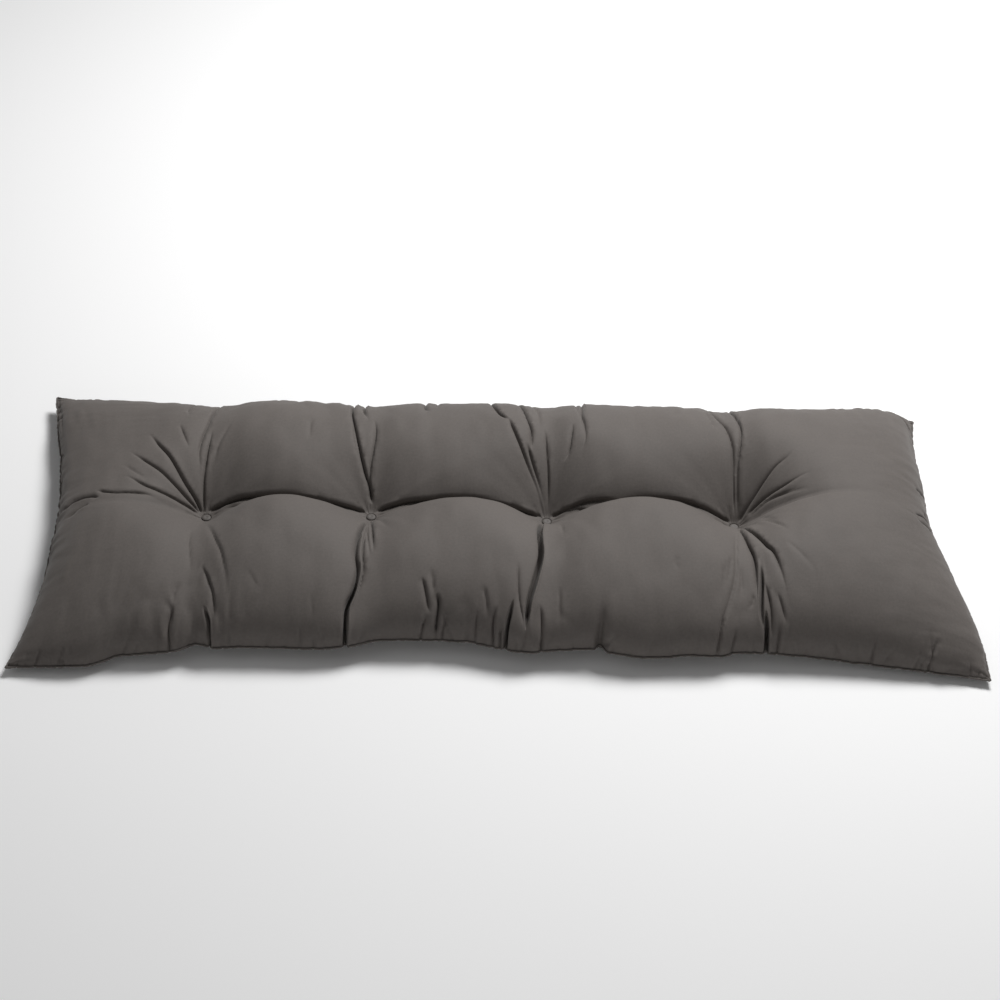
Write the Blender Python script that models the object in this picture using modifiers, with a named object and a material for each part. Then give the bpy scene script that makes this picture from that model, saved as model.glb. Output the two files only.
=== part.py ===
"""Bench cushion: one long filled pad with a knife-edge seam, drawn in by four tufts.

Metres, +Z up. X runs along the cushion, -Y is its front edge, and the pad lies on z = 0.
Two panels of cloth meet at the seam. Each tuft pulls the upper panel down to a small
flat seat with a button on it, and draws the underside up over a matching button.

A place on the cloth is given by x, its distance along the flat cover, and across, which
is -1 at the front seam and 1 at the back seam.
"""
import math
from collections import namedtuple

import bmesh
import bpy

# Driving dimensions
HALF_LENGTH = 0.600      # of the flat cover, along X
HALF_WIDTH = 0.250       # of the flat cover, along Y
BELLY = 0.060            # how far the lower panel would hang below its seam over a gap
END_ROUNDNESS = 9        # higher keeps the filling full nearer to the two ends
SIDE_ROUNDNESS = 2.6     # the same for the front and back edges
DIMPLE_REACH = 0.050     # how far a tuft draws the upper panel down around its seat
VALLEY_REACH = 0.030     # half width of the valley that runs from tuft to tuft
CHANNEL_REACH = 0.024    # half width of the channels from a tuft to the long edges
CHANNEL_CUT = 0.22       # share of the crown that a channel takes away
SEAT = 0.008             # half width of the flat seat under a button
LOWER_SEAT_Z = 0.012     # height of the underside's seats
LOWER_REACH = 0.055      # how far a tuft lifts the lower panel around its seat
CLEARANCE = 0.0003       # gap between a button and its seat

BUTTON_RADIUS = 0.006
BUTTON_HEIGHT = 0.004
BUTTON_SIDES = 16

CELLS_PER_BAY = 10       # grid cells along X from one tuft's seat to the next
CELLS_PER_HALF = 12      # grid cells along Y from a tuft's seat to the seam

# The four corner tips, as uneven as soft corners lie
Corner = namedtuple("Corner", "x y z")
FRONT_LEFT = Corner(-0.597, -0.250, 0.015)
FRONT_RIGHT = Corner(0.605, -0.247, 0.017)
BACK_LEFT = Corner(-0.605, 0.250, 0.020)
BACK_RIGHT = Corner(0.592, 0.243, 0.010)
LEFT_END_DRAW = 0.032    # how far the middle of each end is drawn in from its corners
RIGHT_END_DRAW = 0.022
END_LIFT = 0.016         # how far the seam climbs from the corners to the middle of an end
END_FADE = 8             # higher keeps the ends' own seam height closer to the ends

# One row for each tuft: its place along the cushion and the height of its upper seat
Tuft = namedtuple("Tuft", "x seat_z")
TUFTS = (
    Tuft(-0.376, 0.028),
    Tuft(-0.162, 0.034),
    Tuft(0.067, 0.031),
    Tuft(0.313, 0.027),
)

# One row for each end, channel and bay between channels, from left to right: how far the
# front and back edges are drawn in, their seam's height, the filling's full height there,
# and the share of it that the valley along the tuft line cuts away
Section = namedtuple("Section", "x front_draw back_draw seam_z full_z valley")
SECTIONS = (
    Section(-0.600, 0.000, 0.000, 0.017, 0.100, 0.00),
    Section(-0.490, 0.004, 0.010, 0.020, 0.112, 0.10),
    Section(-0.376, 0.027, 0.028, 0.031, 0.108, 0.45),
    Section(-0.270, 0.027, 0.020, 0.030, 0.117, 0.58),
    Section(-0.162, 0.036, 0.028, 0.032, 0.109, 0.60),
    Section(-0.050, 0.037, 0.022, 0.032, 0.118, 0.58),
    Section(0.067, 0.028, 0.028, 0.031, 0.109, 0.60),
    Section(0.190, 0.019, 0.020, 0.030, 0.117, 0.55),
    Section(0.313, 0.027, 0.028, 0.030, 0.107, 0.45),
    Section(0.460, 0.010, 0.008, 0.020, 0.112, 0.08),
    Section(0.600, 0.000, 0.000, 0.014, 0.100, 0.00),
)

# Linear colours of dark, warm grey cloth
CLOTH_COLOUR = (0.085, 0.076, 0.070, 1.0)
BUTTON_COLOUR = (0.095, 0.086, 0.080, 1.0)


def clear_objects():
    """Start from an empty file."""
    for old in list(bpy.data.objects):
        bpy.data.objects.remove(old)


def principled(name, colour, roughness):
    """A plain cloth material with the given linear colour."""
    material = bpy.data.materials.new(name)
    material.use_nodes = True
    shader = material.node_tree.nodes["Principled BSDF"]
    shader.inputs["Base Color"].default_value = colour
    shader.inputs["Roughness"].default_value = roughness
    shader.inputs["Metallic"].default_value = 0.0
    return material


def mix(low, high, share):
    """The value that lies the given share of the way from low to high."""
    return low + (high - low) * share


def section_value(x, column):
    """Read a column of SECTIONS at x, eased so that each row is a crest or a pinch."""
    for left, right in zip(SECTIONS, SECTIONS[1:]):
        if x <= right.x:
            share = (x - left.x) / (right.x - left.x)
            eased = (1 - math.cos(math.pi * share)) / 2
            return mix(getattr(left, column), getattr(right, column), eased)
    return getattr(SECTIONS[-1], column)


def arch(across):
    """1 at the middle of an end, 0 at its corners."""
    return (1 - across * across) ** 1.5


def plan(x, across):
    """Place of the cloth seen from above, with its drawn-in sides and ends."""
    along = (x + HALF_LENGTH) / (2 * HALF_LENGTH)
    depth = (across + 1) / 2
    front = mix(FRONT_LEFT.y, FRONT_RIGHT.y, along) + section_value(x, "front_draw")
    back = mix(BACK_LEFT.y, BACK_RIGHT.y, along) - section_value(x, "back_draw")
    y = across * back if across > 0 else -across * front
    if x < 0:
        flat_end, outer = -HALF_LENGTH, TUFTS[0].x - SEAT
        end = mix(FRONT_LEFT.x, BACK_LEFT.x, depth) + LEFT_END_DRAW * arch(across)
    else:
        flat_end, outer = HALF_LENGTH, TUFTS[-1].x + SEAT
        end = mix(FRONT_RIGHT.x, BACK_RIGHT.x, depth) - RIGHT_END_DRAW * arch(across)
    toward_end = max(0.0, (x - outer) / (flat_end - outer))
    return x + (end - flat_end) * toward_end ** 2, y


def seam_height(x, across):
    """Height of the seam, carried inwards over the cloth from the edges."""
    depth = (across + 1) / 2
    front, back = (FRONT_LEFT, BACK_LEFT) if x < 0 else (FRONT_RIGHT, BACK_RIGHT)
    end = mix(front.z, back.z, depth) + END_LIFT * arch(across)
    return mix(section_value(x, "seam_z"), end, abs(x / HALF_LENGTH) ** END_FADE)


def fullness(x, across):
    """0 on the seam, rising steeply to 1 inside it, like a stuffed edge."""
    side = math.sqrt(max(0.0, 1 - abs(across) ** SIDE_ROUNDNESS))
    end = math.sqrt(max(0.0, 1 - abs(x / HALF_LENGTH) ** END_ROUNDNESS))
    return side * end


def seat_distance(tuft, px, py):
    """Distance to a tuft's flat seat, and 0 all over the seat, which is square on the grid."""
    if max(abs(px - tuft.x), abs(py)) <= SEAT * 1.001:
        return 0.0
    return max(0.0, math.hypot(px - tuft.x, py) - SEAT)


def upper_height(x, across):
    """Height of the upper panel with its crown, dimples, valley and channels."""
    px, py = plan(x, across)
    seam = seam_height(x, across)
    filled = fullness(x, across)
    nearest = min(TUFTS, key=lambda tuft: abs(tuft.x - x))
    if seat_distance(nearest, px, py) == 0:
        return nearest.seat_z
    full = mix(seam, section_value(x, "full_z"), filled)
    drawn_down = mix(seam, nearest.seat_z, filled)
    keep = 1 - section_value(x, "valley") * math.exp(-abs(py) / VALLEY_REACH)
    for tuft in TUFTS:
        keep *= 1 - math.exp(-seat_distance(tuft, px, py) / DIMPLE_REACH)
        keep *= 1 - CHANNEL_CUT * math.exp(-abs(px - tuft.x) / CHANNEL_REACH)
    return mix(drawn_down, full, keep)


def lower_height(x, across):
    """Height of the lower panel: flat on the ground, curling up to the seam and the tufts."""
    px, py = plan(x, across)
    height = max(0.0, seam_height(x, across) - BELLY * fullness(x, across))
    for tuft in TUFTS:
        share = max(0.0, 1 - seat_distance(tuft, px, py) / LOWER_REACH)
        height = max(height, LOWER_SEAT_Z * share ** 2)
    return height


def eased_steps(start, end, cells, dense_start, dense_end):
    """Grid lines from start to end, without start, closer together at the dense sides."""
    lines = []
    for index in range(1, cells + 1):
        share = index / cells
        if dense_start and dense_end:
            eased = (1 - math.cos(math.pi * share)) / 2
        elif dense_end:
            eased = math.sin(math.pi / 2 * share)
        else:
            eased = 1 - math.cos(math.pi / 2 * share)
        lines.append(mix(start, end, mix(share, eased, 0.7)))
    return lines


def lines_along():
    """Grid lines along X: one through every tuft and one at each side of its seat."""
    lines = [-HALF_LENGTH]
    for tuft in TUFTS:
        between_tufts = tuft is not TUFTS[0]
        lines += eased_steps(lines[-1], tuft.x - SEAT, CELLS_PER_BAY, True, between_tufts)
        lines += [tuft.x, tuft.x + SEAT]
    return lines + eased_steps(lines[-1], HALF_LENGTH, CELLS_PER_BAY, False, True)


def lines_across():
    """Grid lines from the front seam to the back seam, with the tuft line in the middle."""
    seat = SEAT / HALF_WIDTH
    half = [0.0, seat] + eased_steps(seat, 1.0, CELLS_PER_HALF, False, True)
    return [-value for value in reversed(half[1:])] + half


def panel(height, columns, rows):
    """A grid of cloth shaped by a height function."""
    sheet = bmesh.new()
    cells_x, cells_y = len(columns) - 1, len(rows) - 1
    bmesh.ops.create_grid(sheet, x_segments=cells_x, y_segments=cells_y, size=1.0)
    for vert in sheet.verts:
        x = columns[round((vert.co.x + 1) / 2 * cells_x)]
        across = rows[round((vert.co.y + 1) / 2 * cells_y)]
        px, py = plan(x, across)
        vert.co = (px, py, height(x, across))
    return sheet


def split_corners(sheet):
    """Cut each corner cell through its corner, so the two panels never lie face to face."""
    for corner in [vert for vert in sheet.verts if len(vert.link_faces) == 1]:
        cell = corner.link_faces[0]
        beside = {edge.other_vert(corner) for edge in corner.link_edges}
        opposite = next(v for v in cell.verts if v is not corner and v not in beside)
        bmesh.ops.connect_verts(sheet, verts=[corner, opposite])


def make_cushion(collection):
    """Upper and lower panels, sewn together along their rim into one filled solid."""
    columns, rows = lines_along(), lines_across()
    body = bpy.data.meshes.new("cushion")
    whole = bmesh.new()
    for height in (upper_height, lower_height):
        sheet = panel(height, columns, rows)
        split_corners(sheet)
        if height is lower_height:
            bmesh.ops.reverse_faces(sheet, faces=sheet.faces)
        sheet.to_mesh(body)
        sheet.free()
        whole.from_mesh(body)
    bmesh.ops.remove_doubles(whole, verts=whole.verts, dist=1e-6)
    whole.to_mesh(body)
    whole.free()
    body.shade_smooth()
    body.set_sharp_from_angle(angle=math.radians(50))
    body.materials.append(principled("cushion_cloth", CLOTH_COLOUR, 0.8))
    cushion = bpy.data.objects.new("cushion", body)
    collection.objects.link(cushion)


def button_outline():
    """Half outline of a soft round button, dimpled where the thread goes through."""
    outline = (
        (0.0, BUTTON_HEIGHT * 0.80),
        (BUTTON_RADIUS * 0.28, BUTTON_HEIGHT),
        (BUTTON_RADIUS * 0.70, BUTTON_HEIGHT * 0.90),
        (BUTTON_RADIUS, BUTTON_HEIGHT * 0.45),
        (BUTTON_RADIUS * 0.80, 0.0),
        (0.0, 0.0),
    )
    mesh = bpy.data.meshes.new("tuft_button")
    points = [(radius, 0.0, z) for radius, z in outline]
    mesh.from_pydata(points, [(index, index + 1) for index in range(len(points) - 1)], [])
    mesh.materials.append(principled("button_cloth", BUTTON_COLOUR, 0.7))
    return mesh


def make_button(name, mesh, x, z, upside_down, collection):
    """A button turned about its thread; the underside's buttons face the ground."""
    button = bpy.data.objects.new(name, mesh)
    button.location = (x, 0.0, z)
    if upside_down:
        button.rotation_euler = (math.pi, 0.0, 0.0)
    screw = button.modifiers.new("turned", "SCREW")
    screw.steps = BUTTON_SIDES
    screw.render_steps = BUTTON_SIDES
    screw.use_merge_vertices = True
    screw.merge_threshold = 0.00005
    collection.objects.link(button)


def main():
    clear_objects()
    collection = bpy.data.collections.new("bench_cushion")
    bpy.context.scene.collection.children.link(collection)
    make_cushion(collection)
    mesh = button_outline()
    for number, tuft in enumerate(TUFTS, start=1):
        upper_z = tuft.seat_z + CLEARANCE
        lower_z = LOWER_SEAT_Z - CLEARANCE
        make_button(f"tuft_button_{number}", mesh, tuft.x, upper_z, False, collection)
        make_button(f"lower_button_{number}", mesh, tuft.x, lower_z, True, collection)


main()
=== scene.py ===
"""Looks of a long tufted bench cushion, lying on its back on a plain pale floor.

The cover is two panels of brushed cloth that meet in a knife-edge seam. Four threads pull
the panels together along the centre line, so that the filling stands in a row of bays,
with folds that run from each button to the valley between the bays and to the long edges.

Metres, +Z up. X runs along the cushion and -Y is its front edge. A place on the flat cut
cloth is given by s, along the cushion, and t, across it. Each maps to a place under the
swollen cover: x, from end to end, and across, which is -1 at the front seam and 1 at the
back seam.
"""
import logging
import math
from dataclasses import dataclass, field
from enum import Enum
from typing import Any, Iterable, Union

import bmesh
import bpy
import numpy as np
from mathutils import Matrix, Vector


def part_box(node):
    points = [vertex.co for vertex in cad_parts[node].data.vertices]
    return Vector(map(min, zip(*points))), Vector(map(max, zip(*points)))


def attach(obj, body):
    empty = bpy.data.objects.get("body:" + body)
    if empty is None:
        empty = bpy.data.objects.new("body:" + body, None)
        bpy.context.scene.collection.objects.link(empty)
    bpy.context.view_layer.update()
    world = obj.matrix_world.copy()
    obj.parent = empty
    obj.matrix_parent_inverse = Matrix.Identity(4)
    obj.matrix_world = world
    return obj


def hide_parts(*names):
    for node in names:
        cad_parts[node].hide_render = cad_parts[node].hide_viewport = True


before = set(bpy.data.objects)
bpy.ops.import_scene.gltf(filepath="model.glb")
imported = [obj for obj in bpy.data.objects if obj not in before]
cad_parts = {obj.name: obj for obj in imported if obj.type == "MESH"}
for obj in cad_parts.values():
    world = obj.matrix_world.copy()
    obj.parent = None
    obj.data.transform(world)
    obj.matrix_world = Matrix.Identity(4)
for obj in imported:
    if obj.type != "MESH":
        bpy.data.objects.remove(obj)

Array = np.ndarray
Point = tuple[float, float]
Triple = tuple[float, float, float]
Colour = Triple

TINY = 1e-12                # keeps a division by nothing away

log = logging.getLogger("bench_cushion")


# ---------------------------------------------------------------------------
# Small sums that every class uses
# ---------------------------------------------------------------------------

def mix(low: Any, high: Any, share: Any) -> Any:
    """The value that lies the given share of the way from low to high."""
    return low + (high - low) * share


def ease(share: Any) -> Any:
    """A smooth step from 0 to 1, flat at both ends and clipped outside them."""
    share = np.clip(share, 0.0, 1.0)
    return share * share * (3.0 - 2.0 * share)


def trough(gap: Any, reach: Any, blunt: float) -> Array:
    """The groove between two round bulges that press together.

    Args:
        gap: Distance from the groove's bottom line.
        reach: Distance at which the bulges level out.
        blunt: Radius of the cloth at the bottom.

    Returns:
        1 at the bottom, steepest near it, and 0 from the reach on.
    """
    share = np.clip(np.hypot(gap, blunt) / reach, 0.0, 1.0)
    bottom = 1.0 - np.sqrt(1.0 - (1.0 - blunt / reach) ** 2)
    return (1.0 - np.sqrt(1.0 - (1.0 - share) ** 2)) / bottom


def rows_to_columns(rows: Iterable[Any], *names: str) -> list[Array]:
    """Read named columns of a table of dataclass rows.

    Args:
        rows: The table.
        names: The fields to read.

    Returns:
        One array for each name.
    """
    table = list(rows)
    return [np.array([getattr(row, name) for row in table], float) for name in names]


def through(x: Array, places: Array, values: Array) -> Array:
    """A smooth curve through a table's rows, level at each crest and pinch.

    Args:
        x: Where to read the curve.
        places: The rows' places, rising.
        values: The rows' values.

    Returns:
        The curve at x.
    """
    slopes = np.diff(values) / np.diff(places)
    product = slopes[:-1] * slopes[1:]
    total = np.where(product > 0, slopes[:-1] + slopes[1:], 1.0)
    inner = np.where(product > 0, 2 * product / total, 0.0)
    tangents = np.concatenate([slopes[:1], inner, slopes[-1:]])
    index = np.clip(np.searchsorted(places, x, side="right") - 1, 0, len(places) - 2)
    gap = places[index + 1] - places[index]
    t = np.clip((x - places[index]) / gap, 0.0, 1.0)
    bend = gap * (tangents[index] * (1 - t) - tangents[index + 1] * t)
    return mix(values[index], values[index + 1], ease(t)) + bend * t * (1 - t)


def smooth_line(points: Iterable[Point], steps: int = 10) -> Array:
    """A smooth line through a few given points.

    Args:
        points: The points, in order.
        steps: Number of short pieces between two of them.

    Returns:
        The points of the smooth line, one row each.
    """
    known = np.array(list(points), float)
    ends = np.vstack([2 * known[0] - known[1], known, 2 * known[-1] - known[-2]])
    line = []
    for before, start, end, after in zip(ends, ends[1:], ends[2:], ends[3:]):
        for step in range(steps):
            t = step / steps
            line.append(0.5 * (
                2 * start + (end - before) * t
                + (2 * before - 5 * start + 4 * end - after) * t ** 2
                + (3 * start - before - 3 * end + after) * t ** 3
            ))
    return np.array(line + [known[-1]])


@dataclass(frozen=True)
class Beside:
    """Places that lie beside a line drawn on the cloth."""

    which: Array            # their numbers among all the places
    gap: Array              # distance to the line
    toward: Array           # the way to the line, two columns
    left: Array             # 1 on the line's left, -1 on its right
    along: Array            # share of the line's length


def beside(line: Array, x: Array, y: Array, reach: float) -> Beside:
    """Find the places near a line.

    Args:
        line: The line's points, one row each.
        x: First coordinate of all places.
        y: Second coordinate of all places.
        reach: How far around the line's box to look.

    Returns:
        The places found, measured against the line.
    """
    low, high = line.min(0) - reach, line.max(0) + reach
    which = np.flatnonzero((x > low[0]) & (x < high[0]) & (y > low[1]) & (y < high[1]))
    starts, runs = line[:-1], np.diff(line, axis=0)
    lengths = np.linalg.norm(runs, axis=1)
    offsets = np.stack([x[which], y[which]], -1)[:, None] - starts
    shares = np.clip((offsets * runs).sum(-1) / lengths ** 2, 0.0, 1.0)
    toward = shares[..., None] * runs - offsets
    gaps = np.linalg.norm(toward, axis=-1)
    nearest = gaps.argmin(1)
    rows = np.arange(len(which))
    run, offset = runs[nearest], offsets[rows, nearest]
    left = np.where(run[:, 0] * offset[:, 1] > run[:, 1] * offset[:, 0], 1.0, -1.0)
    done = np.concatenate([[0.0], np.cumsum(lengths)])
    along = (done[nearest] + shares[rows, nearest] * lengths[nearest]) / done[-1]
    return Beside(which, gaps[rows, nearest], toward[rows, nearest], left, along)


@dataclass(frozen=True)
class Undulation:
    """A smooth random field: many faint waves that cross at all angles."""

    seed: int
    longest: float          # of the waves' lengths
    shortest: float
    squeeze: float = 1.0    # below 1, the waves are drawn out along the second coordinate
    waves: int = 20

    def at(self, x: Array, y: Array, other: int = 0) -> Array:
        """Read the field.

        Args:
            x: First coordinate of the places, in metres.
            y: Second coordinate.
            other: Number of another field of the same kind.

        Returns:
            Its height there, mostly between -1 and 1.
        """
        rng = np.random.default_rng(self.seed + other)
        y = y * self.squeeze
        total = np.zeros_like(x)
        for _ in range(self.waves):
            angle, phase = rng.uniform(0, 2 * math.pi, 2)
            length = self.shortest * (self.longest / self.shortest) ** rng.uniform()
            turn = 2 * math.pi / length
            total += np.cos((x * math.cos(angle) + y * math.sin(angle)) * turn + phase)
        return total / math.sqrt(self.waves)


# ---------------------------------------------------------------------------
# Meshes and objects
# ---------------------------------------------------------------------------

def open_mesh(points: Array, faces: list[list[int]]) -> bmesh.types.BMesh:
    """Start work on a mesh.

    Args:
        points: Its points, one row each.
        faces: The numbers of each face's points.

    Returns:
        The mesh, ready to be worked on.
    """
    mesh = bpy.data.meshes.new("work")
    mesh.from_pydata(points.tolist(), [], faces)
    work = bmesh.new()
    work.from_mesh(mesh)
    bpy.data.meshes.remove(mesh)
    return work


def close_mesh(work: bmesh.types.BMesh, name: str) -> bpy.types.Mesh:
    """End work on a mesh.

    Args:
        work: The mesh that was worked on.
        name: Name of the finished mesh.

    Returns:
        The finished mesh.
    """
    mesh = bpy.data.meshes.new(name)
    work.to_mesh(mesh)
    work.free()
    return mesh


def add_object(name: str, data: bpy.types.ID) -> bpy.types.Object:
    """Put an object into the scene, at the origin.

    Args:
        name: The object's name.
        data: Its mesh, light or camera.

    Returns:
        The object.
    """
    made = bpy.data.objects.new(name, data)
    bpy.context.scene.collection.objects.link(made)
    return made


# ---------------------------------------------------------------------------
# Node trees and their maths
# ---------------------------------------------------------------------------

class Wire:
    """An output of a node that takes part in arithmetic, which adds Math nodes."""

    def __init__(self, owner: "NodeTree", socket: bpy.types.NodeSocket) -> None:
        """Hold a socket of the owner's tree."""
        self.owner = owner
        self.socket = socket

    def sibling(self, output: int) -> "Wire":
        """Another output of the same node."""
        return Wire(self.owner, self.socket.node.outputs[output])

    def math(self, operation: str, *others: Union["Wire", float]) -> "Wire":
        """Add a Math node that takes this wire first, then the others."""
        values = dict(enumerate((self, *others)))
        return self.owner.node("ShaderNodeMath", {"operation": operation}, values)

    def _after(self, operation: str, first: float) -> "Wire":
        """Add a Math node that takes a number first, then this wire."""
        return self.owner.node("ShaderNodeMath", {"operation": operation}, {0: first, 1: self})

    def __add__(self, other: Union["Wire", float]) -> "Wire":
        """This plus the other."""
        return self.math("ADD", other)

    def __sub__(self, other: Union["Wire", float]) -> "Wire":
        """This minus the other."""
        return self.math("SUBTRACT", other)

    def __mul__(self, other: Union["Wire", float]) -> "Wire":
        """This times the other."""
        return self.math("MULTIPLY", other)

    def __rsub__(self, other: float) -> "Wire":
        """The number minus this."""
        return self._after("SUBTRACT", other)

    __radd__ = __add__
    __rmul__ = __mul__


class NodeTree:
    """A node tree that is built one node at a time."""

    tree: bpy.types.NodeTree

    def node(self, kind: str, settings: dict[str, Any], values: dict[Any, Any],
             output: Union[int, str] = 0) -> Wire:
        """Add a node.

        Args:
            kind: The node's type.
            settings: Its settings, such as an operation, or what a Capture Attribute node
                "captures".
            values: Numbers, colours or wires for its sockets, by name or by place.
            output: The output that is handed back.

        Returns:
            That output, as a wire.
        """
        made = self.tree.nodes.new(kind)
        for name, value in settings.items():
            if name == "captures":
                made.capture_items.new("FLOAT", value)
            else:
                setattr(made, name, value)
        for name, value in values.items():
            self.plug(made.inputs[name], value)
        return Wire(self, made.outputs[output])

    def plug(self, socket: bpy.types.NodeSocket, value: Any) -> None:
        """Link one or more wires to a socket, or set the socket's own value.

        Args:
            socket: The socket.
            value: A wire, a list of wires, a number, a colour or a vector.
        """
        if isinstance(value, (Wire, list)):
            for wire in value if isinstance(value, list) else [value]:
                self.tree.links.new(wire.socket, socket)
        elif isinstance(value, tuple) and len(value) == 3 and socket.type == "RGBA":
            socket.default_value = (*value, 1.0)
        else:
            socket.default_value = value


class Maker(NodeTree):
    """A Geometry Nodes tree with named inputs for its sizes."""

    def __init__(self, name: str, sizes: dict[str, Union[int, float]]) -> None:
        """Start a tree.

        Args:
            name: Name of the tree and of the piece that it makes.
            sizes: Its inputs, by name, with their values.
        """
        self.name = name
        self.sizes = sizes
        self.tree = bpy.data.node_groups.new(name, "GeometryNodeTree")
        sockets = self.tree.interface
        sockets.new_socket("Geometry", in_out="OUTPUT", socket_type="NodeSocketGeometry")
        sockets.new_socket("Geometry", in_out="INPUT", socket_type="NodeSocketGeometry")
        for title, value in sizes.items():
            kind = "NodeSocketInt" if isinstance(value, int) else "NodeSocketFloat"
            sockets.new_socket(title, in_out="INPUT", socket_type=kind)
        self.start = self.tree.nodes.new("NodeGroupInput")
        self.end = self.tree.nodes.new("NodeGroupOutput")

    def given(self, name: str) -> Wire:
        """The wire of a named input."""
        return Wire(self, self.start.outputs[name])

    def vector(self, x: Any, y: Any, z: Any) -> Wire:
        """A vector of numbers or wires."""
        return self.node("ShaderNodeCombineXYZ", {}, {0: x, 1: y, 2: z})

    def make(self, base: bpy.types.Mesh, result: Wire) -> bpy.types.Object:
        """Run the tree on a mesh and keep what it makes as a plain mesh.

        Args:
            base: The mesh that the tree starts from.
            result: The wire that holds the finished shape.

        Returns:
            The piece.
        """
        self.plug(self.end.inputs[0], self.node("GeometryNodeRealizeInstances", {}, {0: result}))
        holder = add_object(self.name, base)
        modifier = holder.modifiers.new(self.name, "NODES")
        modifier.node_group = self.tree
        for item in self.tree.interface.items_tree:
            if item.in_out == "INPUT" and item.name in self.sizes:
                modifier[item.identifier] = self.sizes[item.name]
        shown = holder.evaluated_get(bpy.context.evaluated_depsgraph_get())
        made = bpy.data.meshes.new_from_object(shown)
        holder.modifiers.clear()
        holder.data = made
        made.name = self.name
        bpy.data.meshes.remove(base)
        return holder


class Finish(NodeTree):
    """A material and its node tree."""

    def __init__(self, name: str) -> None:
        """Start a material from its Principled shader.

        Args:
            name: The material's name.
        """
        self.material = bpy.data.materials.new(name)
        self.material.use_nodes = True
        self.tree = self.material.node_tree
        self.shader = self.tree.nodes["Principled BSDF"]

    def blend(self, first: Any, second: Any, share: Any) -> Wire:
        """Mix two colours by a share."""
        values = {"Factor": share, 6: first, 7: second}
        return self.node("ShaderNodeMix", {"data_type": "RGBA"}, values, 2)

    def dress(self, **sockets: Any) -> bpy.types.Material:
        """Set or link the Principled shader's sockets.

        Args:
            sockets: A value or wire for each socket, named with _ for a space.

        Returns:
            The finished material.
        """
        for name, value in sockets.items():
            title = " ".join(word.capitalize() for word in name.split("_"))
            self.plug(self.shader.inputs[title], value)
        return self.material


@dataclass(frozen=True)
class BrushedCloth:
    """Finish of woven cloth with a soft brushed face."""

    name: str
    colour: Colour
    nap_colour: Colour
    thread: float               # pitch of the weave
    thread_depth: float
    nap_depth: float
    roughness: float
    sheen: float
    slubs: Point = (90.0, 900.0)        # uneven threads in a metre, along them and across
    nap_clouds: float = 260.0           # clouds in a metre: of the nap, fine and wide mottling
    mottle_clouds: float = 9.0
    drift_clouds: float = 2.2
    cloud_roughness: float = 0.55       # weight of the clouds' finer parts
    slub_tone: float = 0.35             # how much each of them lightens the colour
    nap_tone: float = 1.3
    mottle_tone: float = 0.9
    drift_tone: float = 0.8
    nap_rough: float = 0.10             # how much it adds to the roughness
    mottle_rough: float = 0.08
    sheen_roughness: float = 0.45
    sheen_tint: Colour = (0.86, 0.83, 0.80)

    def make(self) -> bpy.types.Material:
        """Build the material. It reads the piece's UV map, in metres of flat cloth.

        Returns:
            The material: a fine weave with uneven threads, a brushed nap and faint mottling.
        """
        finish = Finish(self.name)
        place = finish.node("ShaderNodeTexCoord", {}, {}, "UV")
        u = finish.node("ShaderNodeSeparateXYZ", {}, {0: place}, "X")
        v = finish.node("ShaderNodeSeparateXYZ", {}, {0: place}, "Y")
        turn = 2 * math.pi / self.thread
        weave = (u * turn).math("SINE") * (v * turn).math("SINE")
        along, across = self.slubs
        slub = self._threads(finish, place, (along, across, 1.0))
        slub = slub + self._threads(finish, place, (across, along, 1.0))
        nap = self._cloud(finish, place, self.nap_clouds)
        mottle = self._cloud(finish, place, self.mottle_clouds)
        drift = self._cloud(finish, place, self.drift_clouds, detail=1.0)
        height = (weave + slub) * self.thread_depth + nap * self.nap_depth
        bump = finish.node(
            "ShaderNodeBump", {}, {"Strength": 1.0, "Distance": 1.0, "Height": height}, "Normal"
        )
        tone = mottle * self.mottle_tone + drift * self.drift_tone
        tone = tone + nap * self.nap_tone + slub * self.slub_tone
        rough = nap * self.nap_rough + mottle * self.mottle_rough + self.roughness
        return finish.dress(
            base_color=finish.blend(self.colour, self.nap_colour, tone + 0.5),
            roughness=rough, normal=bump, metallic=0.0, sheen_weight=self.sheen,
            sheen_roughness=self.sheen_roughness, sheen_tint=self.sheen_tint,
        )

    @staticmethod
    def _noise(finish: Finish, values: dict[str, Any]) -> Wire:
        """Noise with its mean taken off, so that it lies on both sides of 0."""
        return finish.node("ShaderNodeTexNoise", {}, values) - 0.5

    def _threads(self, finish: Finish, place: Wire, stretch: Triple) -> Wire:
        """Uneven threads: noise drawn out along one direction of the weave."""
        scaled = finish.node("ShaderNodeMapping", {}, {"Vector": place, "Scale": stretch})
        return self._noise(finish, {"Vector": scaled, "Scale": 1.0, "Detail": 1.0})

    def _cloud(self, finish: Finish, place: Wire, clouds: float, detail: float = 3.0) -> Wire:
        """Cloudy noise with so many clouds in a metre of cloth."""
        return self._noise(finish, {
            "Vector": place, "Scale": clouds, "Detail": detail, "Roughness": self.cloud_roughness})


@dataclass(frozen=True)
class FloorPaint:
    """Finish of the plain pale floor: an even sweep with a faint unevenness."""

    name: str
    colour: Colour
    roughness: float
    clouds: float = 1.5         # in a metre
    darkest: float = 0.99       # share of its brightness that its clouds leave

    def make(self) -> bpy.types.Material:
        """Build the material.

        Returns:
            The material, clouded by a hundredth of its brightness.
        """
        finish = Finish(self.name)
        place = finish.node("ShaderNodeTexCoord", {}, {}, "Object")
        cloud = finish.node("ShaderNodeTexNoise", {}, {"Vector": place, "Scale": self.clouds})
        shaded = tuple(part * self.darkest for part in self.colour)
        return finish.dress(
            base_color=finish.blend(self.colour, shaded, cloud), roughness=self.roughness
        )


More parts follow.
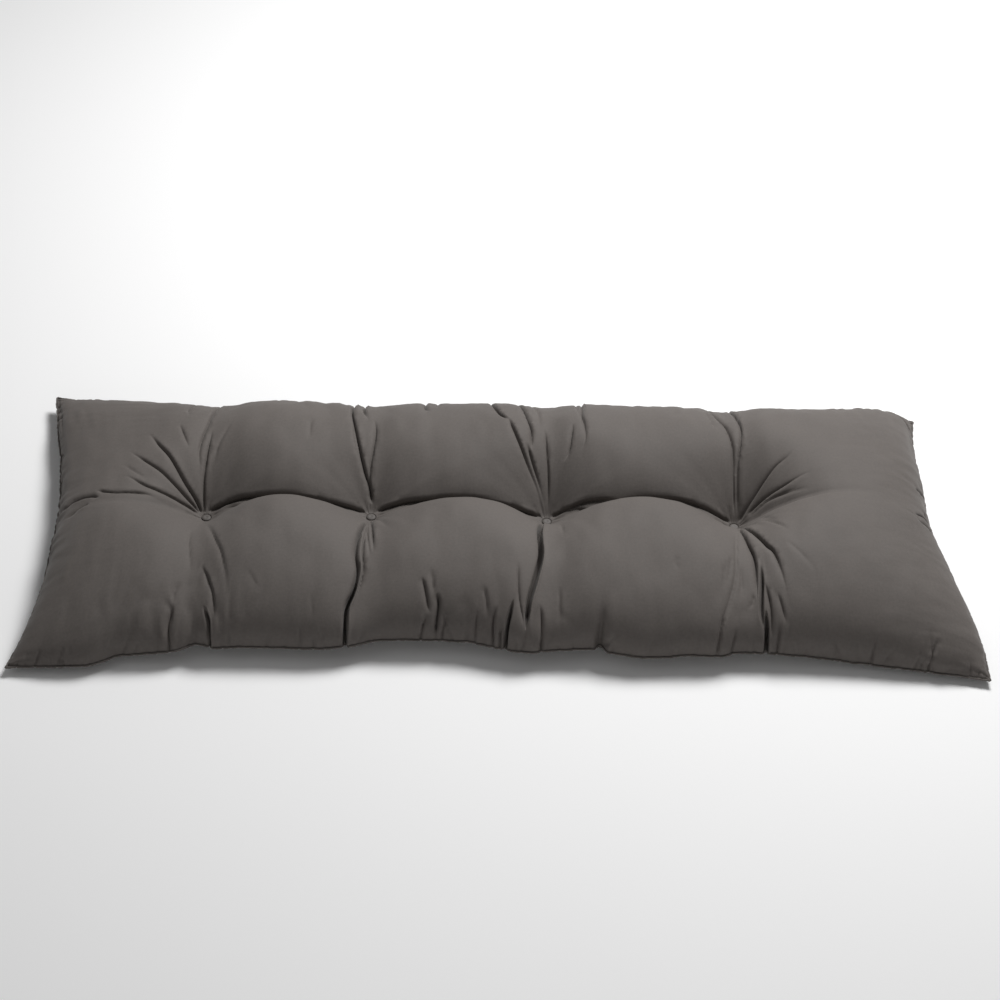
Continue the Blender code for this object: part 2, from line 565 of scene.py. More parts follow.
CLOTH = BrushedCloth("cushion_cloth", (0.0905, 0.079, 0.0719), (0.1200, 0.105, 0.0955),
                     0.0011, 0.00002, 0.00007, 0.78, 0.12)
# The cover's cloth darkened by about a sixth: painted shade that dims the buttons' lit faces.
PAINTED_SHADE_BUTTON_CLOTH = BrushedCloth("button_cloth", (0.076, 0.067, 0.061), (0.102, 0.090, 0.082),
                            0.0011, 0.00002, 0.00004, 0.66, 0.12)
THREAD = BrushedCloth("seam_thread", (0.060, 0.054, 0.050), (0.085, 0.077, 0.071),
                      0.0004, 0.00001, 0.00001, 0.62, 0.10)
FLOOR = FloorPaint("studio_floor", (0.95, 0.95, 0.95), 0.9)


# ---------------------------------------------------------------------------
# Tables of the cushion's shape
# ---------------------------------------------------------------------------

@dataclass(frozen=True)
class Corner:
    """The tip of a corner, where it lies."""

    x: float
    y: float
    z: float


@dataclass(frozen=True)
class Station:
    """The cushion's cross-section at one place along it."""

    x: float
    front_draw: float       # how far the long seams are drawn in from their corners' line
    back_draw: float
    seam_z: float
    front_z: float          # height that the filling would have without the tufts
    back_z: float
    valley: float           # share of it that the valley on the tuft line takes away
    valley_y: float         # where the valley's bottom runs


@dataclass(frozen=True)
class FrontEdge:
    """A place on the front seam, with its folds, and how far it is drawn in there."""

    x: float
    draw: float


@dataclass(frozen=True)
class EndEdge:
    """A place across the two ends, and how far each seam is drawn in from its corners' line."""

    across: float
    left: float
    right: float


@dataclass(frozen=True)
class Crease:
    """A fold in pulled cloth, along a given line."""

    line: tuple[Point, ...]
    depth: float
    reach: float            # how far it spreads to each side
    lean: float = 0.0       # above 0 its left side is the steeper one, below 0 its right
    head: float = 0.0       # share of its length over which it deepens from its start
    tail: float = 0.5       # share of its length over which it fades out
    slit: float = 0.0       # half the width of the opening at its bottom


FRONT_LEFT = Corner(-0.597, -0.250, 0.010)
FRONT_RIGHT = Corner(0.605, -0.247, 0.009)
BACK_LEFT = Corner(-0.605, 0.250, 0.020)
BACK_RIGHT = Corner(0.5915, 0.243, 0.010)

STATIONS = (
    #       x     front back  seam  front_z back_z valley valley_y
    Station(-.600, .000, .000, .013, .088, .078, .00, -.020),
    Station(-.490, .008, .010, .013, .101, .081, .14, -.020),
    Station(-.376, .025, .028, .022, .104, .097, .54, .000),
    Station(-.290, .028, .020, .021, .108, .103, .66, .010),
    Station(-.220, .032, .022, .022, .105, .099, .66, .008),
    Station(-.162, .037, .028, .023, .105, .113, .66, .003),
    Station(-.085, .041, .023, .023, .104, .104, .65, .006),
    Station(-.030, .040, .022, .023, .106, .107, .65, .007),
    Station(.067, .028, .028, .022, .110, .122, .66, .002),
    Station(.190, .022, .021, .021, .106, .112, .62, .009),
    Station(.313, .028, .028, .021, .108, .123, .52, .000),
    Station(.460, .024, .006, .012, .109, .108, .08, .000),
    Station(.560, .008, -.009, .011, .102, .104, .00, .000),
    Station(.600, .000, .000, .010, .098, .094, .00, .000),
)

FRONT_EDGES = tuple(FrontEdge(x, draw) for x, draw in (
    (-.600, .000), (-.530, .001), (-.500, .003), (-.460, .018), (-.420, .019),
    (-.398, .020), (-.368, .031), (-.345, .026), (-.310, .029), (-.220, .027),
    (-.186, .030), (-.140, .042), (-.082, .043), (-.040, .041), (-.010, .033),
    (.040, .024), (.067, .028), (.105, .032), (.119, .032), (.127, .039),
    (.138, .027), (.190, .020), (.250, .024), (.270, .023), (.300, .030),
    (.390, .029), (.440, .024), (.500, .016), (.560, .007), (.600, .000),
))

END_EDGES = (
    #       across left  right
    EndEdge(-1.00, .000, -.004),
    EndEdge(-.85, .012, -.006),
    EndEdge(-.65, .023, .000),
    EndEdge(-.40, .031, .012),
    EndEdge(.00, .034, .025),
    EndEdge(.40, .025, .019),
    EndEdge(.75, .009, .013),
    EndEdge(1.00, .000, .000),
)

# The lines below are drawn on the cushion's plan, x and y
CREASES = (
    # The valley between the bays, from button to button, and the soft fold in front of it
    Crease(((-.376, .010), (-.361, .012), (-.345, .014), (-.305, .013), (-.258, .012),
            (-.215, .009), (-.175, .008), (-.167, .008)), .0120, .0070, .1, .06, .06),
    Crease(((-.158, .009), (-.142, .010), (-.123, .010), (-.076, .009), (-.030, .009),
            (.001, .007), (.017, .006), (.040, .006), (.062, .008)), .0120, .0070, .1, .06, .06),
    Crease(((.072, .008), (.098, .011), (.113, .012), (.129, .012), (.160, .012)),
           .0080, .0065, .1, .06, .3),
    Crease(((.160, .012), (.229, .012), (.267, .009), (.299, .008), (.310, .008)),
           .0085, .0065, .1, .3, .06),
    Crease(((-.359, .008), (-.342, .008), (-.323, .004), (-.302, -.010), (-.280, -.021)),
           .0040, .007, 0, .2, .5),
    Crease(((.081, .008), (.095, .009), (.113, .006), (.131, -.006), (.159, -.010)),
           .0050, .007, 0, .2, .15),
    # The fan to the left of the first button, from the left edge round to the back
    Crease(((-.387, .006), (-.415, .009), (-.445, .012), (-.459, .017), (-.483, .029)),
           .0060, .0070, -.2, 0, .35),
    Crease(((-.450, .027), (-.465, .033), (-.489, .053)), .0025, .008, 0, .3, .5),
    Crease(((-.385, .008), (-.404, .019), (-.433, .040), (-.466, .064), (-.483, .080)),
           .0065, .0075, -.1, 0, .40),
    Crease(((-.383, .009), (-.392, .021), (-.405, .036), (-.429, .070), (-.445, .091),
            (-.461, .117)), .0085, .0080, -.2, 0, .40),
    Crease(((-.403, .082), (-.413, .111), (-.422, .134)), .0045, .008, 0, .4, .4),
    Crease(((-.435, -.002), (-.459, -.001), (-.488, -.004), (-.516, .001)),
           .0055, .0075, -.2, .4, .15),
    Crease(((-.508, -.013), (-.522, -.007), (-.545, -.008), (-.562, -.016)),
           .0075, .009, .2, .2, .4),
    Crease(((-.520, -.021), (-.532, -.026), (-.550, -.038)), .0050, .008, .2, .2, .4),
    Crease(((-.380, .010), (-.381, .046), (-.379, .082), (-.376, .124)), .0075, .0065, -.2, 0, .35),
    Crease(((-.386, .052), (-.390, .084), (-.384, .131), (-.381, .159), (-.378, .183),
            (-.369, .225)), .0085, .0068, -.1, .35, .1),
    Crease(((-.370, .059), (-.366, .091), (-.353, .128), (-.347, .147)), .0030, .010, -.2, .3, .5),
    Crease(((-.409, .154), (-.414, .180), (-.402, .225)), .0045, .008, 0, .5, .1),
    Crease(((-.246, .088), (-.246, .113), (-.244, .142)), .0025, .009, 0, .4, .4),
    # From the first button to the front edge
    Crease(((-.374, -.040), (-.363, -.068), (-.352, -.101), (-.343, -.126), (-.334, -.165),
            (-.331, -.200)), .0038, .010, .3, .3, .5),
    Crease(((-.369, -.136), (-.362, -.148), (-.351, -.177), (-.346, -.208)),
           .0050, .009, .3, .35, .3),
    Crease(((-.361, -.190), (-.356, -.201), (-.353, -.213), (-.352, -.232)),
           .0120, .005, .2, .4, .05, .0003),
    Crease(((-.397, -.190), (-.398, -.200), (-.401, -.215), (-.400, -.235)), .0085, .009, .2, .4, .05),
    Crease(((-.391, -.159), (-.397, -.177), (-.398, -.192)), .0030, .009, 0, .4, .4),
    Crease(((-.386, -.063), (-.386, -.099), (-.378, -.158)), .0030, .012, 0, .3, .5),
    Crease(((-.311, -.148), (-.301, -.164), (-.291, -.180)), .0010, .012, .2, .4, .4),
    Crease(((-.230, -.174), (-.228, -.192), (-.225, -.209)), .0012, .012, 0, .4, .4),
    # The second button, to the back and to the front
    Crease(((-.162, .017), (-.164, .032), (-.173, .056), (-.182, .094), (-.190, .142),
            (-.192, .175), (-.188, .225)), .0110, .0075, -.2, .05, .1),
    Crease(((-.176, .060), (-.183, .082), (-.191, .126)), .0050, .006, 0, .3, .3),
    Crease(((-.161, .017), (-.165, .046), (-.161, .081), (-.159, .110), (-.162, .141)),
           .0075, .0065, -.2, .1, .35),
    Crease(((-.170, .135), (-.174, .154), (-.177, .180), (-.174, .222)), .0090, .007, -.2, .4, .1),
    Crease(((-.166, -.034), (-.173, -.077), (-.175, -.115), (-.173, -.144), (-.178, -.171),
            (-.185, -.189), (-.186, -.209), (-.187, -.230)), .0150, .0080, .3, .1, .02),
    Crease(((-.171, -.135), (-.176, -.165), (-.185, -.190), (-.187, -.209), (-.187, -.236)),
           .0360, .0030, 0, .5, .02, .0016),
    Crease(((-.166, -.060), (-.168, -.110), (-.167, -.145), (-.176, -.185)),
           .0075, .005, 0, .2, .3),
    Crease(((-.162, -.011), (-.158, -.066), (-.155, -.116)), .0090, .007, .2, 0, .4),
    Crease(((-.164, -.027), (-.164, -.072), (-.159, -.124)), .0060, .006, 0, 0, .5),
    Crease(((-.156, -.005), (-.143, -.053), (-.134, -.078)), .0035, .008, 0, 0, .6),
    # The third button, to the back and to the front
    Crease(((.062, .012), (.058, .026), (.042, .058), (.029, .089), (.015, .133)),
           .0100, .0070, -.2, .75, .2),
    Crease(((.018, .125), (.008, .140), (.003, .155), (-.001, .175), (-.008, .228)),
           .0100, .0065, -.2, .2, .1),
    Crease(((.065, .013), (.058, .036), (.050, .058), (.040, .087)), .0080, .0060, -.1, .7, .25),
    Crease(((.046, .075), (.048, .105), (.044, .129), (.036, .176), (.022, .226)),
           .0110, .0060, -.1, .2, .1),
    Crease(((.067, .010), (.069, .040), (.067, .077), (.064, .118)), .0065, .0060, -.2, .3, .35),
    Crease(((.057, .101), (.057, .162), (.043, .222)), .0040, .007, 0, .4, .2),
    Crease(((.087, .062), (.095, .073), (.100, .103), (.102, .122)), .0065, .008, -.2, .3, .4),
    Crease(((.109, .066), (.117, .087), (.117, .116), (.115, .141), (.118, .178), (.118, .226)),
           .0075, .007, -.3, .4, .1),
    Crease(((.109, .131), (.111, .169), (.110, .224)), .0040, .006, 0, .4, .1),
    Crease(((-.089, .154), (-.095, .189), (-.089, .228)), .0070, .010, -.3, .4, .05),
    Crease(((-.080, .168), (-.077, .184), (-.078, .225)), .0040, .008, 0, .4, .05),
    Crease(((.062, -.016), (.054, -.069), (.054, -.117), (.046, -.156), (.038, -.185),
            (.034, -.214)), .0110, .0085, .3, .12, .15),
    Crease(((.062, -.016), (.054, -.069), (.054, -.117), (.046, -.156), (.038, -.185),
            (.034, -.214)), .0420, .0030, 0, .25, .1, .0021),
    Crease(((.025, -.133), (.026, -.178), (.034, -.216)), .0045, .009, 0, .3, .3),
    Crease(((.019, -.181), (.015, -.196), (.010, -.214), (.009, -.232)),
           .0260, .0040, 0, .45, .03, .0012),
    Crease(((.005, -.207), (.003, -.216), (.005, -.232)), .0080, .006, 0, .3, .05),
    Crease(((-.001, -.187), (-.006, -.206), (-.003, -.232)), .0080, .009, .3, .35, .05),
    Crease(((.051, -.184), (.054, -.198), (.055, -.230)), .0065, .009, .2, .35, .05),
    Crease(((-.019, -.164), (-.015, -.178), (-.011, -.202)), .0035, .009, .2, .3, .4),
    Crease(((.076, -.160), (.076, -.184), (.078, -.208)), .0025, .009, .2, .3, .4),
    Crease(((.081, -.040), (.085, -.088)), .0025, .008, 0, .3, .5),
    Crease(((.131, -.194), (.127, -.210), (.124, -.233)), .0090, .006, .2, .7, .02),
    # Short folds of the front edge between the second and the third button
    Crease(((-.094, -.154), (-.090, -.168), (-.084, -.193)), .0070, .008, .2, .3, .3),
    Crease(((-.075, -.172), (-.073, -.185), (-.076, -.205)), .0115, .009, .2, .3, .1),
    Crease(((-.083, -.142), (-.080, -.166), (-.078, -.178)), .0035, .008, 0, .4, .4),
    Crease(((-.087, -.193), (-.093, -.204), (-.102, -.225)), .0075, .006, -.2, .3, .02),
    Crease(((-.061, -.193), (-.068, -.206), (-.074, -.225)), .0060, .007, 0, .4, .02),
    Crease(((-.027, -.187), (-.026, -.197), (-.030, -.228)), .0055, .008, .2, .4, .03),
    # The fourth button, to the back and to the right
    Crease(((.314, .010), (.313, .052), (.313, .089), (.308, .123), (.301, .141), (.290, .186),
            (.279, .226)), .0095, .0075, .1, .1, .08),
    Crease(((.318, .012), (.318, .057), (.323, .092), (.326, .120), (.324, .160), (.318, .222)),
           .0080, .0060, -.2, .1, .1),
    Crease(((.294, .114), (.289, .131), (.285, .161)), .0035, .007, 0, .3, .2),
    Crease(((.322, .010), (.342, .030), (.360, .047), (.369, .054), (.383, .063), (.396, .081)),
           .0060, .0075, -.2, 0, .7),
    Crease(((.328, .010), (.348, .018), (.381, .026), (.413, .037)), .0050, .0075, -.2, .1, .6),
    Crease(((.330, .006), (.354, .014), (.380, .014), (.415, .010)), .0040, .0085, -.2, .1, .6),
    Crease(((.320, -.005), (.331, -.015), (.340, -.035)), .0035, .006, 0, 0, .5),
    Crease(((.342, -.017), (.354, -.049), (.371, -.080)), .0040, .007, 0, .3, .5),
    Crease(((.343, -.002), (.353, -.034), (.362, -.055)), .0025, .007, 0, .3, .5),
    Crease(((.360, -.091), (.383, -.124), (.396, -.145)), .0018, .010, 0, .3, .5),
    # The deep fan from the fourth button down to the front edge
    Crease(((.318, -.014), (.325, -.050), (.337, -.092), (.345, -.109), (.352, -.140),
            (.359, -.180)), .0105, .0075, .2, .1, .6),
    Crease(((.313, -.030), (.317, -.080), (.322, -.119), (.321, -.181)),
           .0115, .0075, .2, .1, .4),
    Crease(((.318, -.163), (.316, -.175), (.311, -.185)), .0040, .006, 0, .4, .4),
    Crease(((.328, -.125), (.328, -.150), (.326, -.185), (.329, -.208)),
           .0150, .0055, .1, .4, .3, .0005),
    Crease(((.331, -.150), (.337, -.184), (.339, -.215)), .0080, .0070, .1, .4, .3),
    Crease(((.331, -.190), (.332, -.209), (.335, -.232)), .0100, .0070, .1, .35, .02),
    Crease(((.331, -.185), (.332, -.209), (.335, -.232)), .0300, .0034, 0, .45, .02, .0016),
    Crease(((.345, -.165), (.351, -.185), (.357, -.205)), .0045, .0085, .2, .4, .4),
    Crease(((.348, -.200), (.348, -.212), (.345, -.232)), .0075, .0070, .2, .4, .03),
    Crease(((.310, -.040), (.302, -.088), (.296, -.145), (.286, -.180), (.275, -.207),
            (.271, -.230)), .0040, .0090, .2, .3, .02),
    Crease(((.281, -.194), (.276, -.208), (.273, -.226)), .0060, .006, .2, .3, .1),
    Crease(((.294, -.110), (.287, -.144), (.281, -.169)), .0030, .006, 0, .3, .4),
    Crease(((.286, -.122), (.280, -.153), (.278, -.173)), .0025, .006, 0, .3, .4),
    Crease(((.303, -.128), (.303, -.154), (.300, -.173)), .0025, .007, 0, .3, .4),
    Crease(((.295, -.205), (.288, -.230)), .0050, .006, 0, .3, .05),
    Crease(((.224, -.124), (.221, -.135), (.225, -.145)), .0015, .007, 0, .3, .4),
    # Gathers of the seam to the right of the fourth button
    Crease(((.383, -.213), (.377, -.235)), .0045, .006, -.2, .6, .02),
    Crease(((.421, -.212), (.415, -.235)), .0030, .008, -.2, .6, .02),
    Crease(((.470, -.208), (.459, -.240)), .0050, .006, -.2, .6, .02),
    Crease(((.545, -.212), (.530, -.245)), .0055, .006, -.2, .6, .02),
    Crease(((.537, -.198), (.536, -.218), (.540, -.240)), .0035, .009, 0, .4, .1),
    Crease(((.542, -.029), (.556, -.028), (.585, -.036)), .0060, .006, 0, .4, .05),
    Crease(((.560, .006), (.567, -.010), (.583, -.036)), .0090, .007, 0, .3, .05),
    Crease(((.551, .041), (.568, .050), (.585, .050)), .0050, .006, 0, .4, .05),
    Crease(((.538, -.020), (.555, -.012), (.582, -.014)), .0060, .006, 0, .4, .05),
    Crease(((.560, .232), (.575, .219), (.588, .196)), .0060, .007, 0, .3, .05),
)


@dataclass(frozen=True)
class Tuft:
    """One tuft of the centre row, read from the frame's two buttons."""

    x: float
    y: float
    upper_seat: float
    lower_seat: float


def read_tufts(count: int = 4, clearance: float = 0.0003) -> tuple[Tuft, ...]:
    """Read where the frame's buttons sit.

    Args:
        count: Number of tufts.
        clearance: Gap between a button and its seat.

    Returns:
        The tufts, from left to right.
    """
    tufts = []
    for number in range(1, count + 1):
        low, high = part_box(f"tuft_button_{number}")
        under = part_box(f"lower_button_{number}")[1]
        middle = (low + high) / 2
        tufts.append(Tuft(middle.x, middle.y, low.z - clearance, under.z + clearance))
    return tuple(tufts)


# ---------------------------------------------------------------------------
# The cushion
# ---------------------------------------------------------------------------

class Side(Enum):
    """Where a point of the cover lies, as the flat cover holds it in its third column."""

    UPPER = 1.0
    SEAM = 0.0
    LOWER = -1.0


@dataclass
class Folds:
    """What a set of creases does together to places on the cloth."""

    x: Array
    y: Array
    narrow: float = 0.66        # share of their reach, and of their depth, that creases take
    shallow: float = 0.85
    blunt: float = 0.0005       # radius of the cloth at the bottom of a crease
    lip_share: float = 0.5      # height of the lip on a leaning crease's steep side
    lip_spread: float = 0.5     # how far the lip spreads, as a share of the crease's reach
    pinch: float = 0.70         # how far its sides close over it
    slant: float = 0.10         # how far an opening goes under its left side, for its depth
    calm: float = 1e-4          # weight of the cloth's own wish to stay where it is
    weighed: Array = field(init=False)
    weight: Array = field(init=False)
    under: Array = field(init=False)
    cubes: Array = field(init=False)
    lip: Array = field(init=False)

    def __post_init__(self) -> None:
        """Start with smooth cloth."""
        self.weighed, self.under = np.zeros((2, len(self.x), 2))
        self.weight, self.cubes, self.lip = np.zeros((3, len(self.x)))

    def press(self, crease: Crease) -> None:
        """Press one crease into the cloth.

        Args:
            crease: The crease, on the same plan as the places.
        """
        line = smooth_line(crease.line)
        found = beside(line, self.x, self.y, 2 * crease.reach + crease.slit)
        wide = crease.reach * self.narrow * (1.0 - crease.lean * found.left)
        strength = ease((1.0 - found.along) / crease.tail) if crease.tail else 1.0
        strength = strength * (ease(found.along / crease.head) if crease.head else 1.0)
        depth = crease.depth * self.shallow * strength
        gap = np.maximum(0.0, found.gap - crease.slit * strength)
        sink = depth * trough(gap, wide, self.blunt)
        self.cubes[found.which] += sink ** 3
        if crease.slit:
            run = line[-1] - line[0]
            left = np.array([-run[1], run[0]]) / np.hypot(*run)
            self.under[found.which] += self.slant * sink[:, None] * left
        steep = np.maximum(0.0, crease.lean * found.left)
        ridge = np.exp(-((gap / wide - 1.0) / self.lip_spread) ** 2)
        self.lip[found.which] += depth * self.lip_share * steep * ridge
        closing = self.pinch * np.maximum(0.0, 1.0 - gap / wide) ** 2 * strength
        closing = closing * gap / np.maximum(found.gap, TINY)
        self.weighed[found.which] += found.toward * closing[:, None] ** 3
        self.weight[found.which] += closing ** 2

    @property
    def drop(self) -> Array:
        """How far the cloth sinks below its smooth shape; crossing creases don't add up."""
        return np.cbrt(self.cubes) - self.lip

    @property
    def pull(self) -> Array:
        """How far the cloth moves sideways; the strongest crease has the most say."""
        return self.weighed / (self.weight + self.calm)[:, None] + self.under


@dataclass(frozen=True)
class Puckers:
    """The small gathers that run in from the seam, drawn at random on the flat cloth."""

    seed: int = 11
    gap: float = 0.013                  # mean distance between two of them
    spacing: Point = (0.45, 1.7)        # the least and the most of it, as shares
    length: Point = (0.012, 0.048)
    slant: float = 0.25                 # how far they run aslant, for their length
    depth: Point = (0.0012, 0.0050)
    reach: Point = (0.0045, 0.0075)
    lean: float = 0.3
    tail: float = 0.85

    def draw(self, half_s: float, half_t: float) -> list[Crease]:
        """Draw them along all four edges.

        Args:
            half_s: Half the length of the flat cut.
            half_t: Half its width.

        Returns:
            The creases.
        """
        rng = np.random.default_rng(self.seed)
        made = []
        for along_s, side in ((True, -1), (True, 1), (False, -1), (False, 1)):
            half, far = (half_s, half_t) if along_s else (half_t, half_s)
            place = -half + self.gap
            while place < half - self.gap:
                length = rng.uniform(*self.length)
                aslant = rng.normal(0.0, self.slant) * length
                ends = ((place, side * far), (place + aslant, side * (far - length)))
                line = ends if along_s else tuple((b, a) for a, b in ends)
                depth = mix(*self.depth, rng.uniform() ** 2)
                reach = rng.uniform(*self.reach)
                lean = rng.uniform(-self.lean, self.lean)
                made.append(Crease(line, depth, reach, lean, 0.0, self.tail))
                place += self.gap * rng.uniform(*self.spacing)
        return made


@dataclass(frozen=True)
class Wrinkles:
    """Soft wrinkles that run in from the seams, as sewing leaves them."""

    depth: float = 0.0021
    reach: float = 0.085
    width: float = 0.42                 # lower makes the wide ones narrower
    fine_share: float = 0.5             # depth of the fine ones, as a share of the wide ones
    patchiness: float = 0.4
    wide: Undulation = Undulation(20, 0.070, 0.022, 0.22)
    fine: Undulation = Undulation(40, 0.022, 0.010, 0.15)
    patches: Undulation = Undulation(30, 0.400, 0.150)

    def at(self, s: Array, t: Array, half_s: float, half_t: float) -> Array:
        """How deep they are.

        Args:
            s: Place along the flat cloth.
            t: Place across it.
            half_s: Half the length of the flat cut.
            half_t: Half its width.

        Returns:
            Their depth.
        """
        total = np.zeros_like(s)
        rows = ((s, t, half_t - np.abs(t)), (t, s, half_s - np.abs(s)))
        for number, (along, inwards, distance) in enumerate(rows):
            wide = np.exp(-(self.wide.at(along, inwards, number) / self.width) ** 2)
            fine = np.maximum(0.0, self.fine.at(along, inwards, number))
            patch = mix(1.0, self.patches.at(along, inwards, number), self.patchiness)
            near = np.exp(-np.maximum(0.0, distance) / self.reach)
            total += (wide + fine * self.fine_share) * np.maximum(0.0, patch) * near
        return total * self.depth


@dataclass
class Cushion:
    """The cover with its filling."""

    tufts: tuple[Tuft, ...]
    half_length: float = 0.600
    half_width: float = 0.250
    crown: float = 0.072            # rise of the upper panel from its seam, over a bay
    belly: float = 0.060            # how far the lower panel hangs below its seam over a gap
    end_roundness: float = 9.0
    side_roundness: float = 2.6
    end_fade: float = 8.0
    end_lift: float = 0.016         # the seam's climb from the corners to the middle of an end
    end_arch: float = 1.5           # higher keeps that climb nearer to the middle
    end_start: float = 0.008        # how far past the outer tufts the ends start to draw in
    edge_fold_fade: float = 7.0     # how soon the front seam's folds fade over the bay
    valley_front: float = 0.018     # reach of the valley over the front bays, and the back ones
    valley_back: float = 0.140
    valley_soft: float = 0.0015
    dimple: float = 0.135           # how far a tuft draws the upper panel down around it
    dimple_soft: float = 0.003
    channel: float = 0.034          # the shallow channels from the tufts to the long seams
    front_channel: float = 0.20
    back_channel: float = 0.17
    collar: float = 0.0044          # cloth that stands up round a button's rim
    collar_reach: float = 0.0007    # how soon it rises from the rim, and how slowly it falls
    collar_fall: float = 0.0042
    lower_dimple: float = 0.055
    seat: float = 0.0059            # flat cloth under a button
    hold: float = 0.004             # distance from a seat at which a fold has half its depth
    seam_give: float = 0.30         # share of a fold that reaches the stiff seam
    seam_reach: float = 0.008
    under_reach: float = 0.016      # how far a fold carries on into the lower panel
    seam_stand: float = 0.0009      # how far the seam's ridge stands out from the panels
    puckers: Puckers = Puckers()
    wrinkles: Wrinkles = Wrinkles()
    wrinkle_give: float = 0.2       # share of a wrinkle that reaches the stiff seam
    ripple: float = 0.00045         # height of the cloth's faint waves, and of finer ones
    fine_ripple: float = 0.0001125
    ripples: Undulation = Undulation(5, 0.080, 0.030, 0.5)
    fine_ripples: Undulation = Undulation(6, 0.030, 0.012, 0.4)
    drag: float = 0.0004            # height of the faint pull lines around each tuft
    drag_reach: float = 0.060
    drag_lines: tuple[int, ...] = (11, 17, 26)
    cell: float = 0.0046            # size of the flat mesh's faces, before any is split
    fine_edge: float = 0.024        # width of the finer strip along the seam
    fine_tuft: float = 0.018        # width of the finer ring round a tuft
    # Rounds of splitting: depth from which a crease counts, and how close, in its reaches
    finer: tuple[tuple[float, float], ...] = ((0.0, 0.9), (0.0045, 0.5), (0.0110, 0.2))
    lengthways: tuple[Array, Array] = field(init=False)
    crossways: tuple[Array, Array] = field(init=False)

    def __post_init__(self) -> None:
        """Measure the flat cloth that the swollen cover takes."""
        self.lengthways = self._cut(self.half_length, self.end_roundness)
        self.crossways = self._cut(self.half_width, self.side_roundness)

    # Flat cloth ------------------------------------------------------------

    def _cut(self, half: float, roundness: float, count: int = 4001) -> tuple[Array, Array]:
        """Measure the cloth over the crown from seam to seam.

        Args:
            half: Half the distance between the seams.
            roundness: Power of the crown's rounded edge.
            count: Number of places that are measured.

        Returns:
            Distances over the cloth from its middle, and the places below them, -1 to 1.
        """
        places = np.sin(np.linspace(-math.pi / 2, math.pi / 2, count))
        rise = self.crown * np.sqrt(np.maximum(0.0, 1.0 - np.abs(places) ** roundness))
        steps = np.hypot(np.diff(places) * half, np.diff(rise))
        length = np.concatenate([[0.0], np.cumsum(steps)])
        return length - length[-1] / 2, places

    @property
    def cut(self) -> tuple[float, float]:
        """Half the length and half the width of a panel's flat cut."""
        return float(self.lengthways[0][-1]), float(self.crossways[0][-1])

    def under(self, s: Array, t: Array) -> tuple[Array, Array]:
        """The places x and across that lie below places on the flat cloth."""
        return np.interp(s, *self.lengthways) * self.half_length, np.interp(t, *self.crossways)

    def edge_distance(self, s: Array, t: Array) -> Array:
        """Distance over the cloth to the nearest seam."""
        half_s, half_t = self.cut
        return np.minimum(half_s - np.abs(s), half_t - np.abs(t))

    # Smooth form -----------------------------------------------------------

    @staticmethod
    def station(x: Array, column: str) -> Array:
        """Read a column of the stations at x."""
        return through(x, *rows_to_columns(STATIONS, "x", column))

    def arch(self, across: Array) -> Array:
        """1 at the middle of an end, 0 at its corners."""
        return np.maximum(0.0, 1.0 - across * across) ** self.end_arch

    def from_seat(self, tuft: Tuft, plan_x: Array, plan_y: Array) -> Array:
        """Distance on the plan from the edge of a tuft's seat, 0 on the seat."""
        return np.maximum(0.0, np.hypot(plan_x - tuft.x, plan_y - tuft.y) - self.seat)

    def plan(self, x: Array, across: Array) -> tuple[Array, Array]:
        """Place the cloth as seen from above, with its drawn-in sides and ends.

        Args:
            x: Place along the cushion.
            across: Place across it.

        Returns:
            X and Y.
        """
        along = (x + self.half_length) / (2 * self.half_length)
        depth = (across + 1) / 2
        front = mix(FRONT_LEFT.y, FRONT_RIGHT.y, along) + self.station(x, "front_draw")
        folded = through(x, *rows_to_columns(FRONT_EDGES, "x", "draw"))
        folded = folded - self.station(x, "front_draw")
        back = mix(BACK_LEFT.y, BACK_RIGHT.y, along) - self.station(x, "back_draw")
        near_front = np.maximum(0.0, -across)
        y = np.where(across > 0, across * back, -across * front)
        y = y + folded * near_front ** self.edge_fold_fade
        ends, left_draw, right_draw = rows_to_columns(END_EDGES, "across", "left", "right")
        left_end = mix(FRONT_LEFT.x, BACK_LEFT.x, depth) + through(across, ends, left_draw)
        right_end = mix(FRONT_RIGHT.x, BACK_RIGHT.x, depth) - through(across, ends, right_draw)
        first, last = self.tufts[0].x - self.end_start, self.tufts[-1].x + self.end_start
        to_left = np.clip((first - x) / (first + self.half_length), 0.0, None)
        to_right = np.clip((x - last) / (self.half_length - last), 0.0, None)
        shift = (left_end + self.half_length) * to_left ** 2
        shift = shift + (right_end - self.half_length) * to_right ** 2
        return x + shift, y

    def seam_height(self, x: Array, across: Array) -> Array:
        """Height of the seam, carried inwards over the cloth from the edges.

        Args:
            x: Place along the cushion.
            across: Place across it.

        Returns:
            The height.
        """
        depth = (across + 1) / 2
        left = mix(FRONT_LEFT.z, BACK_LEFT.z, depth)
        right = mix(FRONT_RIGHT.z, BACK_RIGHT.z, depth)
        end = np.where(x < 0, left, right) + self.end_lift * self.arch(across)
        share = np.abs(x / self.half_length) ** self.end_fade
        return mix(self.station(x, "seam_z"), end, share)

    def fullness(self, x: Array, across: Array) -> Array:
        """How full the filling is.

        Args:
            x: Place along the cushion.
            across: Place across it.

        Returns:
            0 at the seam, rising like a rounded edge to 1.
        """
        side = np.maximum(0.0, 1.0 - np.abs(across) ** self.side_roundness)
        end = np.maximum(0.0, 1.0 - np.abs(x / self.half_length) ** self.end_roundness)
        return np.sqrt(side * end)

